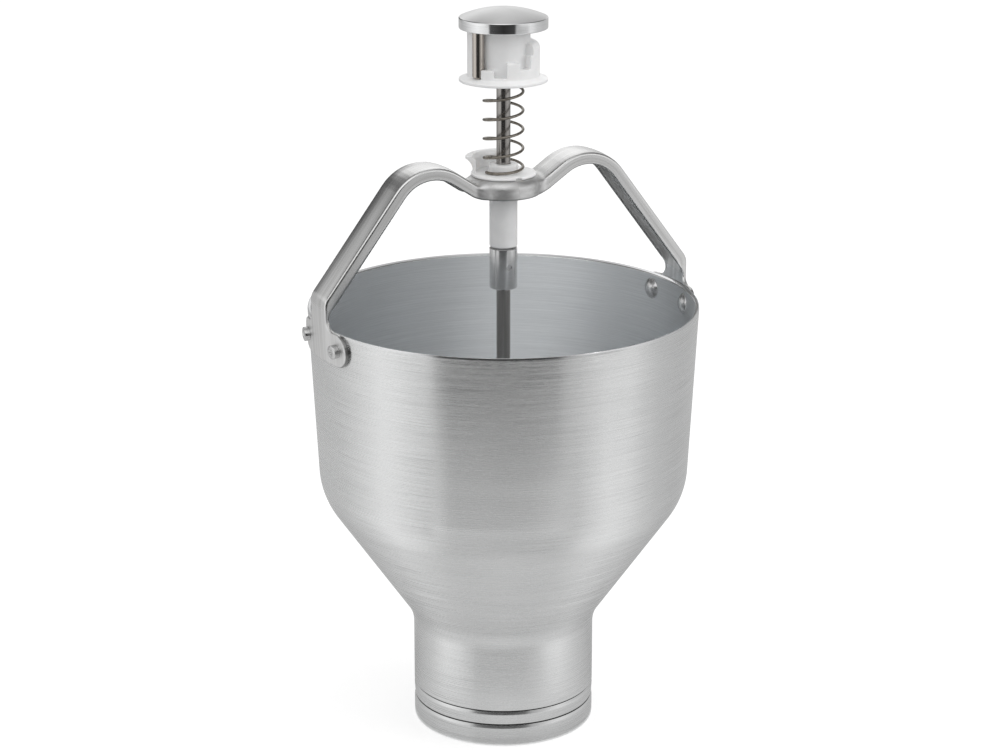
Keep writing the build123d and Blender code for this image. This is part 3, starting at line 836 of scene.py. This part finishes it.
dome_sphere = (knob_radius**2 + knob_dome**2) / 2 / knob_dome
band_top = knob_base + knob_band
dome_line = []
for step in range(bend_steps * 2 + 1):
    radius = (knob_radius - dome_inset) * (1 - step / (bend_steps * 2))
    drop = dome_sphere - math.sqrt(dome_sphere**2 - radius**2)
    dome_line.append((radius, band_top + knob_dome - drop))
knob_line = rounded(
    [(0, knob_base), (knob_radius, knob_base), (knob_radius, band_top), dome_line[1]],
    [knob_rounding, knob_rounding],
)
band_count = len(knob_line)
mesh = bmesh.new()
turn_into(
    mesh, [*knob_line[:-1], *dome_line[1:]], turned_segments,
    paint=lambda number: 0 if number < band_count - 2 else 1,
)
piece_from(
    "knob_turning", mesh_data_of(mesh, "knob_turning"), [knob_metal, dome_metal],
    "head", ["knob"],
)

# Return spring: one wire wound as a helix that closes at both ends

half_pitch = (spring_top - spring_bottom - 2 * spring_end_rise) / (spring_half_turns - 2)


def wire_height(turns):
    """Height of the wire's middle after a number of half turns, level at both ends."""
    if turns < 1:
        return spring_bottom + spring_end_rise * turns**2 * (2 - turns) ** 0.5
    if turns > spring_half_turns - 1:
        return spring_bottom + spring_top - wire_height(spring_half_turns - turns)
    return spring_bottom + spring_end_rise + half_pitch * (turns - 1)


mesh = bmesh.new()
rings = []
step_count = spring_half_turns * steps_per_half_turn
for step in range(step_count + 1):
    turns = spring_half_turns * step / step_count
    angle = math.radians(spring_start_angle) + math.pi * turns
    outward = Vector((math.cos(angle), math.sin(angle), 0))
    centre = outward * spring_mean_radius + Vector((0, 0, wire_height(turns)))
    ring = []
    for side in range(wire_sides):
        around = 2 * math.pi * side / wire_sides
        out = outward * math.cos(around) + Vector((0, 0, 1)) * math.sin(around)
        ring.append(mesh.verts.new((centre + out * wire_radius) * MM))
    rings.append(ring)
for first, second in zip(rings, rings[1:]):
    for side in range(wire_sides):
        beside = (side + 1) % wire_sides
        mesh.faces.new((first[side], first[beside], second[beside], second[side]))
mesh.faces.new(rings[0])
mesh.faces.new(rings[-1][::-1])
spring = piece_from(
    "return_spring_wire", mesh_data_of(mesh, "return_spring_wire"), [spring_wire],
    "frame", ["return_spring"],
)
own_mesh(spring)

# Nodes whose CAD shape is right: their own material

node_materials = {
    "nozzle_cylinder": cast_aluminium,
    "upper_rod": rod_steel_with_painted_shade,
    "lower_rod": rod_steel_with_painted_shade,
    "rod_collar": turned_steel,
    "collar_pin": hardware_steel,
    "index_pin": pin_steel,
    "piston": white_plastic,
    "piston_pin": hardware_steel,
    "cutter_disc": cast_aluminium,
    "cutter_washer": hardware_steel,
    "cutter_nut": hardware_steel,
}
for node, material in node_materials.items():
    cad_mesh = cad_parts[node].data
    cad_mesh.materials.clear()
    cad_mesh.materials.append(material)

# Floor


def where_seen(tree, amount):
    """An amount for rays that see a thing, straight, in a mirror or through glass, and else nothing."""
    rays = tree.nodes.new("ShaderNodeLightPath")
    total = None
    for ray in ("Is Camera Ray", "Is Glossy Ray", "Is Transmission Ray"):
        part = tree.nodes.new("ShaderNodeMath")
        part.operation = "MULTIPLY_ADD"
        part.inputs[1].default_value = amount
        part.inputs[2].default_value = 0.0
        tree.links.new(rays.outputs[ray], part.inputs[0])
        if total:
            tree.links.new(total, part.inputs[2])
        total = part.outputs["Value"]
    return total


floor_half = 4.0
floor_drop = 0.0003
floor_glow = 0.63
mesh = bmesh.new()
bmesh.ops.create_grid(mesh, x_segments=8, y_segments=8, size=floor_half)
floor = bpy.data.objects.new("floor", mesh_data_of(mesh, "floor"))
floor.location.z = -floor_drop
bpy.context.scene.collection.objects.link(floor)
floor_material, floor_shader = new_material("floor_paper")
floor_links = floor_material.node_tree.links
floor_grain = noise(floor_material, (300, 300, 300), 2.0)
floor_links.new(
    tinted(floor_material, floor_grain, (0.49, 0.49, 0.49), (0.51, 0.51, 0.51)),
    floor_shader.inputs["Base Color"],
)
floor_shader.inputs["Emission Color"].default_value = (1, 1, 1, 1)
floor_links.new(where_seen(floor_material.node_tree, floor_glow), floor_shader.inputs["Emission Strength"])
floor_shader.inputs["Roughness"].default_value = 0.8
floor_shader.inputs["Specular IOR Level"].default_value = 0.1
floor.data.materials.append(floor_material)

# Studio tent: seen only in reflections, dark round the camera, bright to both sides, grey behind and above

tent_radius = 0.55
tent_segments = 180
tent_floor = 0.0005
# Brightness by the angle from the camera's side in degrees, negative to the left of it
foot_floor = ((-180, 0.5), (180, 0.5))
cone_floor = ((-180, 0.42), (-125, 0.44), (-80, 0.66), (0, 0.8), (80, 0.68), (125, 0.46), (180, 0.42))
near_floor = (
    (-180, 0.46), (-125, 0.52), (-90, 0.72), (-67, 0.98), (-50, 0.88), (-38, 0.68), (-30, 0.6), (0, 0.58),
    (30, 0.6), (38, 0.68), (50, 0.9), (64, 0.98), (90, 0.74), (125, 0.52), (180, 0.46),
)
left_floor = (
    (-180, 0.52), (-150, 0.57), (-128, 0.61), (-105, 0.66), (-88, 0.8), (-72, 0.97), (-63, 0.94), (-49, 0.75),
    (-42, 0.68),
)
dark_middle = ((-35, 0.2), (-29, 0.03), (0, 0), (14, 0.02), (28, 0.12))
right_floor = ((41, 0.66), (60, 0.96), (74, 0.88), (86, 0.72), (100, 0.62), (120, 0.56), (180, 0.54))


def floor_tones(middle):
    """Floor that is dark in the middle, where the camera stands, and bright to both sides."""
    return (*left_floor, *((angle, middle + more) for angle, more in dark_middle), *right_floor)


low_wall = (
    (-180, 0.55), (-130, 0.5), (-112, 0.58), (-88, 0.85), (-70, 1.0), (-56, 0.92), (-38, 0.8), (-35, 0.08),
    (0, 0.03), (29, 0.06), (33, 0.5), (41, 0.5), (62, 0.6), (72, 0.86), (80, 0.82), (95, 0.64), (120, 0.55),
    (180, 0.55),
)
mid_wall = (
    (-180, 0.95), (-170, 0.9), (-164, 0.12), (-132, 0.08), (-127, 0.5), (-114, 0.8), (-88, 1.0), (-66, 1.2),
    (-50, 1.1), (-40, 0.5), (-35, 0.08), (0, 0.03), (28, 0.05), (36, 0.5), (46, 1.1), (66, 1.2), (80, 0.9),
    (95, 0.7), (120, 0.55), (165, 0.6), (180, 0.95),
)
high_wall = (
    (-180, 1.2), (-166, 0.9), (-152, 0.12), (-132, 0.12), (-127, 0.5), (-112, 0.6), (-92, 0.5), (-50, 0.8),
    (0, 1.6), (50, 0.8), (90, 0.15), (130, 0.2), (160, 0.9), (180, 1.2),
)
upper_wall = (
    (-180, 1.2), (-155, 1.1), (-140, 0.3), (-120, 0.15), (-80, 0.2), (-60, 0.9), (-20, 1.3), (10, 1.2),
    (35, 0.8), (80, 0.2), (120, 0.15), (150, 0.4), (180, 1.2),
)
upper_edge = (
    (-180, 0.9), (-150, 0.4), (-110, 0.15), (-60, 0.6), (-20, 1.2), (10, 1.1), (40, 0.6), (110, 0.15),
    (150, 0.5), (180, 0.9),
)
roof = ((-180, 0.5), (180, 0.5))
# Radius, height and brightness of each ring of the tent, in metres, from the foot outwards and up to the roof
tent_rings = (
    (0.043, tent_floor, foot_floor),
    (0.065, tent_floor, cone_floor),
    (0.09, tent_floor, cone_floor),
    (0.11, tent_floor, near_floor),
    (0.18, tent_floor, near_floor),
    (0.3, tent_floor, floor_tones(0.85)),
    (0.45, tent_floor, floor_tones(0.43)),
    (tent_radius, tent_floor, floor_tones(0.15)),
    (tent_radius, 0.03, floor_tones(0.08)),
    (tent_radius, 0.08, low_wall),
    (tent_radius, 0.24, low_wall),
    (tent_radius, 0.29, mid_wall),
    (tent_radius, 0.37, mid_wall),
    (tent_radius, 0.46, high_wall),
    (tent_radius, 0.52, upper_wall),
    (tent_radius, 0.65, upper_wall),
    (0.45, 0.85, upper_edge),
    (0.27, 0.98, upper_edge),
    (0.24, 1.0, roof),
    (0.02, 1.02, roof),
)

mesh = bmesh.new()
tone_layer = mesh.verts.layers.float_color.new("tone")
rings = []
for radius, height, tones in tent_rings:
    ring = []
    for segment in range(tent_segments):
        angle = 360 * segment / tent_segments - 180
        tone = float(np.interp(angle, *zip(*tones)))
        turn = math.radians(camera_azimuth + angle - 90)
        vertex = mesh.verts.new((radius * math.cos(turn), radius * math.sin(turn), height))
        vertex[tone_layer] = (tone, tone, tone, 1)
        ring.append(vertex)
    rings.append(ring)
for lower, upper in zip(rings, rings[1:]):
    for segment in range(tent_segments):
        beside = (segment + 1) % tent_segments
        mesh.faces.new((lower[segment], lower[beside], upper[beside], upper[segment]))
tent = bpy.data.objects.new("studio_tent", mesh_data_of(mesh, "studio_tent"))
bpy.context.scene.collection.objects.link(tent)
tent_material = bpy.data.materials.new("studio_tent")
tent_material.use_nodes = True
tent_tree = tent_material.node_tree
tent_tree.nodes.clear()
tent_output = tent_tree.nodes.new("ShaderNodeOutputMaterial")
tent_glow = tent_tree.nodes.new("ShaderNodeEmission")
tent_colour = tent_tree.nodes.new("ShaderNodeVertexColor")
tent_colour.layer_name = "tone"
tent_tree.links.new(tent_colour.outputs["Color"], tent_glow.inputs["Color"])
tent_tree.links.new(tent_glow.outputs["Emission"], tent_output.inputs["Surface"])
tent.data.materials.append(tent_material)
tent.visible_camera = False
tent.visible_diffuse = False
tent.visible_shadow = False
tent.visible_transmission = False
tent.visible_volume_scatter = False

# Light: a white room, which is seen white where it is seen, and soft lamps

world_strength = 0.78
world = bpy.data.worlds.new("studio")
bpy.context.scene.world = world
world.use_nodes = True
world_nodes = world.node_tree.nodes
world_links = world.node_tree.links
lit_world = world_nodes["Background"]
seen_world = world_nodes.new("ShaderNodeBackground")
for background, strength in ((lit_world, world_strength), (seen_world, 1.0)):
    background.inputs["Color"].default_value = (1, 1, 1, 1)
    background.inputs["Strength"].default_value = strength
world_mix = world_nodes.new("ShaderNodeMixShader")
world_links.new(where_seen(world.node_tree, 1.0), world_mix.inputs["Fac"])
world_links.new(lit_world.outputs["Background"], world_mix.inputs[1])
world_links.new(seen_world.outputs["Background"], world_mix.inputs[2])
world_links.new(world_mix.outputs["Shader"], world_nodes["World Output"].inputs["Surface"])


def soft_lamp(name, azimuth, elevation, reach, width, height, power):
    """An area lamp that looks at the middle of the hopper's mouth."""
    lamp = bpy.data.lights.new(name, "AREA")
    lamp.shape = "RECTANGLE"
    lamp.size = width
    lamp.size_y = height
    lamp.energy = power
    holder = bpy.data.objects.new(name, lamp)
    bpy.context.scene.collection.objects.link(holder)
    turn = math.radians(camera_azimuth + azimuth)
    rise = math.radians(elevation)
    middle = Vector((0, 0, hopper_height * MM))
    away = Vector((math.sin(turn) * math.cos(rise), -math.cos(turn) * math.cos(rise), math.sin(rise)))
    holder.location = middle + away * reach
    holder.rotation_euler = away.to_track_quat("Z", "Y").to_euler()
    holder.visible_camera = False
    holder.visible_glossy = False
    return holder


soft_lamp("lamp_left", azimuth=-62, elevation=38, reach=1.3, width=0.8, height=0.8, power=1.5)
soft_lamp("lamp_right", azimuth=72, elevation=36, reach=1.4, width=0.9, height=0.9, power=4.4)
soft_lamp("lamp_top", azimuth=60, elevation=74, reach=1.3, width=1.0, height=1.0, power=3.3)

# A lamp in the mouth that shines on the far inside of the hopper and on nothing else
mouth_lamp = soft_lamp(
    "lamp_mouth", azimuth=-18, elevation=28, reach=0.06, width=0.15, height=0.05, power=0.085,
)
mouth_lamp.visible_glossy = True
hopper_only = bpy.data.collections.new("hopper_only")
hopper_only.objects.link(hopper_shell)
mouth_lamp.light_linking.receiver_collection = hopper_only

# Camera

camera_data = bpy.data.cameras.new("camera")
camera_data.lens = camera_lens
camera_data.sensor_width = sensor_width
camera_data.sensor_fit = "HORIZONTAL"
camera = bpy.data.objects.new("camera", camera_data)
bpy.context.scene.collection.objects.link(camera)
camera_turn = math.radians(camera_azimuth)
camera.location = (camera_reach * math.sin(camera_turn), -camera_reach * math.cos(camera_turn), camera_height)
camera.rotation_euler = (math.radians(90 - camera_pitch), 0, math.radians(camera_azimuth + camera_yaw))
bpy.context.scene.camera = camera

bpy.context.scene.view_settings.view_transform = "Standard"
